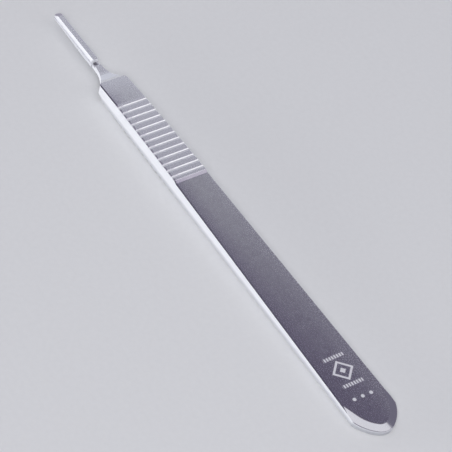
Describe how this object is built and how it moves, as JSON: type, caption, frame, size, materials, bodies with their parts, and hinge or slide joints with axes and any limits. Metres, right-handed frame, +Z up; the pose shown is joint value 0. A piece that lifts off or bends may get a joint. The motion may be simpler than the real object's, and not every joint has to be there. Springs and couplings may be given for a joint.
{
  "type": "scalpel handle",
  "caption": "Flat steel scalpel handle with a grooved grip, a rounded tail and a slotted tongue that takes a slide-on blade.",
  "frame": {"origin": "middle of the handle's length and width, on the plane that it rests on", "axes": "+X along the handle towards the tip of the blade fitting, +Z up out of the face with the blade seat, +Y across"},
  "size_m": [0.125, 0.0106, 0.0038],
  "materials": {
    "steel": "satin polished stainless steel"
  },
  "bodies": {
    "root": {"handle": "steel"}
  },
  "joints": []
}
